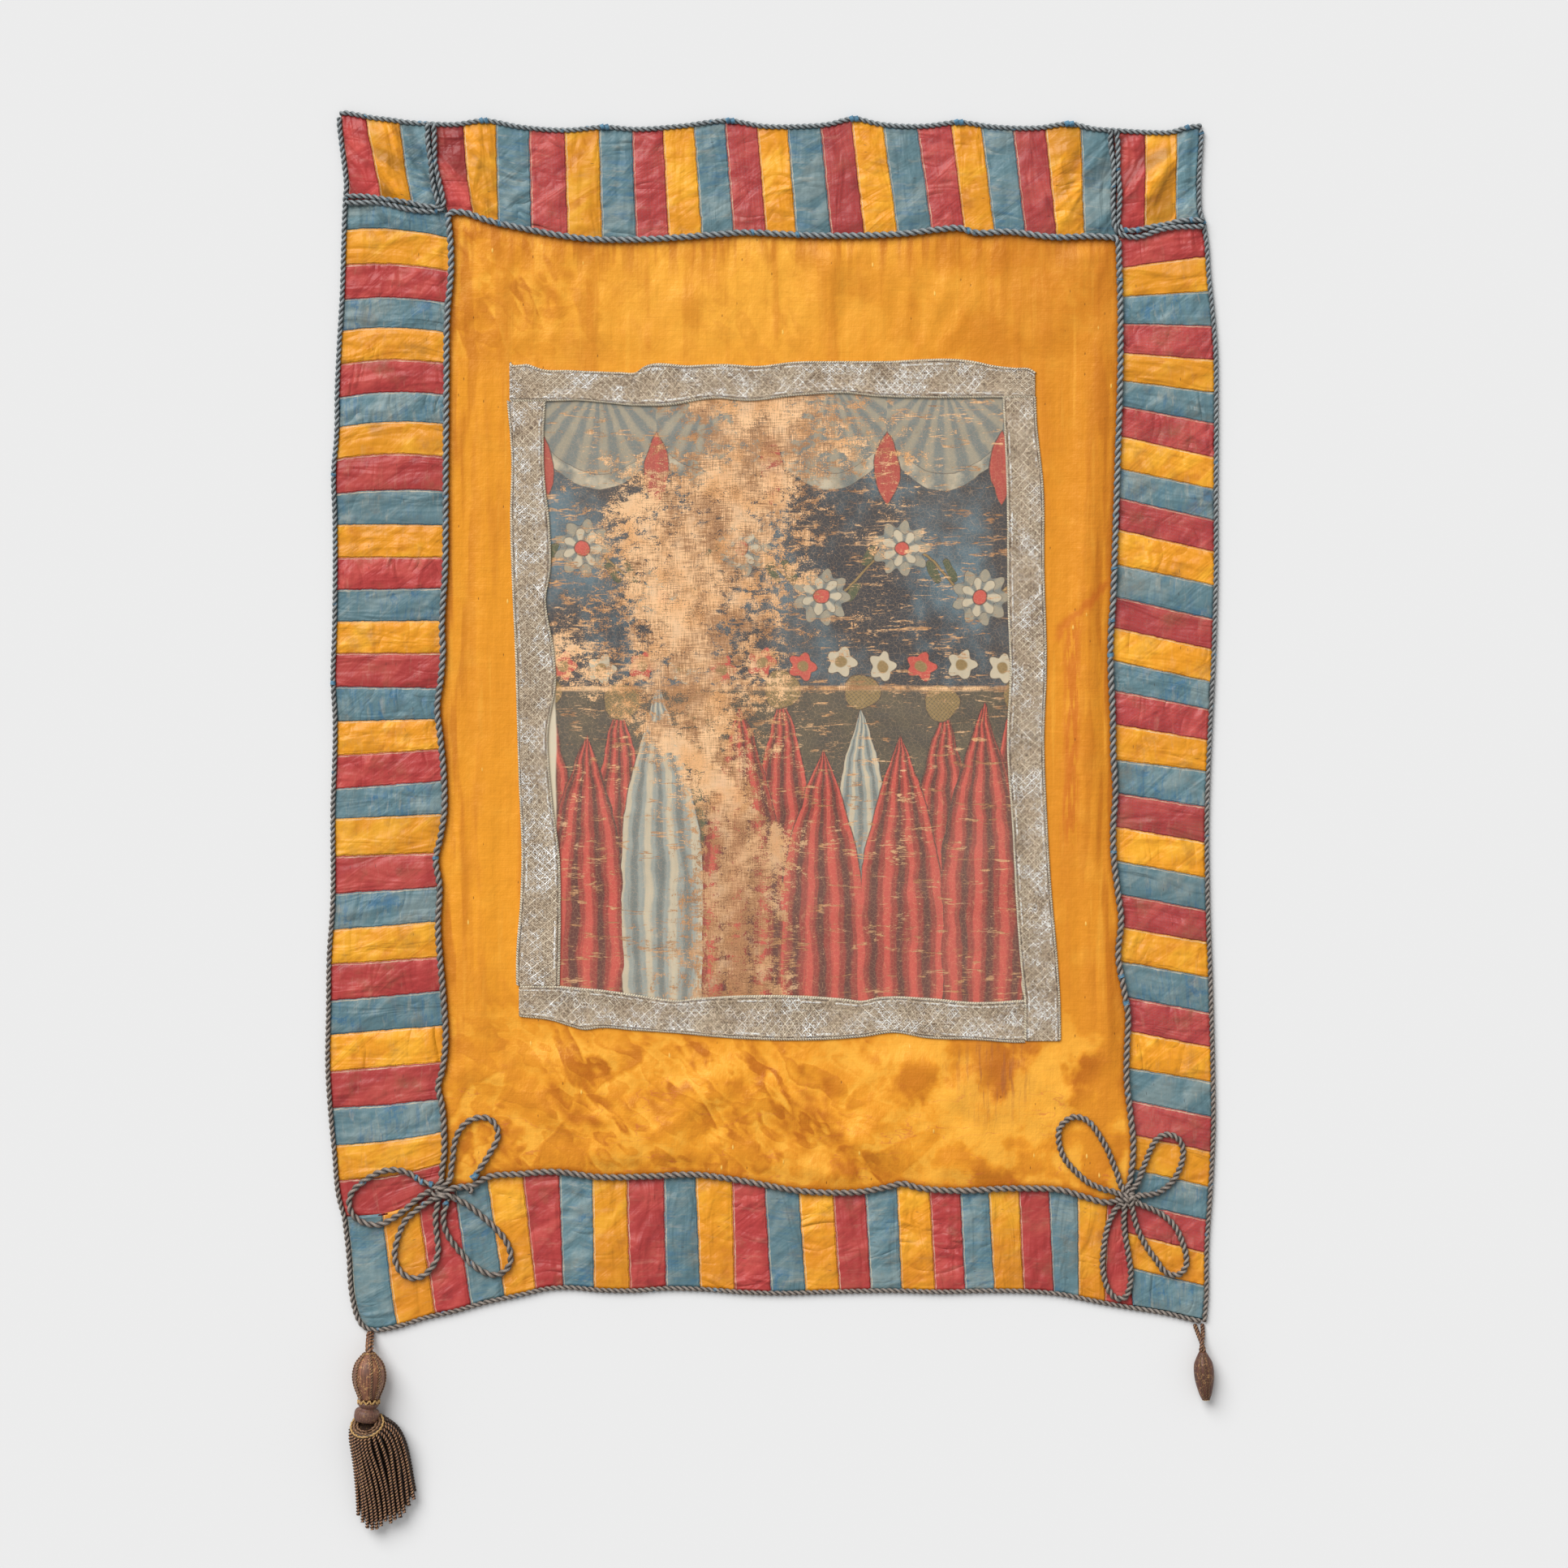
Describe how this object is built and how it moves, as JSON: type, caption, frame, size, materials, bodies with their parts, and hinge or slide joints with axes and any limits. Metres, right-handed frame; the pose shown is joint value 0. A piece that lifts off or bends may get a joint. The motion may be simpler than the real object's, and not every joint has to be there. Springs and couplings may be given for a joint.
{
  "type": "battle flag",
  "caption": "Square-cornered silk battle flag with a painted canvas panel, a pieced border, corded edges and seams, looped corner knots, one whole tassel and one bare tassel head.",
  "frame": {"origin": "under the middle of the flag's whole box, tassels included, on the surface it lies on", "axes": "+Y towards the flag's top edge, +Z out of its face, +X to the right as the face is seen with the top edge up"},
  "size_m": [0.9464, 1.5026, 0.0335],
  "materials": {
    "amber_silk": "silk satin, worn",
    "pieced_silk": "silk strips in turn red, yellow and blue",
    "painted_canvas": "oil paint on canvas, cracked",
    "galloon": "tarnished silver thread",
    "cord": "twisted silk, faded",
    "tassel": "silk over a core, with gold thread"
  },
  "bodies": {
    "root": {"field": "amber_silk", "border_top": "pieced_silk", "border_bottom": "pieced_silk", "border_left": "pieced_silk", "border_right": "pieced_silk", "corner_block_left": "pieced_silk", "corner_block_right": "pieced_silk", "canvas": "painted_canvas", "galloon_top": "galloon", "galloon_bottom": "galloon", "galloon_left": "galloon", "galloon_right": "galloon", "edge_cord_top": "cord", "edge_cord_bottom": "cord", "edge_cord_left": "cord", "edge_cord_right": "cord", "field_cord": "cord", "field_cord_bottom": "cord", "block_cord_left_1": "cord", "block_cord_left_2": "cord", "block_cord_right_1": "cord", "block_cord_right_2": "cord", "knot_left": "cord", "knot_right": "cord", "loop_left_up": "cord", "loop_left_out": "cord", "loop_left_low": "cord", "loop_left_in": "cord", "loop_right_in": "cord", "loop_right_up": "cord", "loop_right_out": "cord", "loop_right_low": "cord", "tassel_cord": "tassel", "tassel_bulb": "tassel", "tassel_collar": "tassel", "tassel_skirt": "tassel", "head_cord_1": "tassel", "head_cord_2": "tassel", "tassel_head": "tassel"}
  },
  "joints": []
}
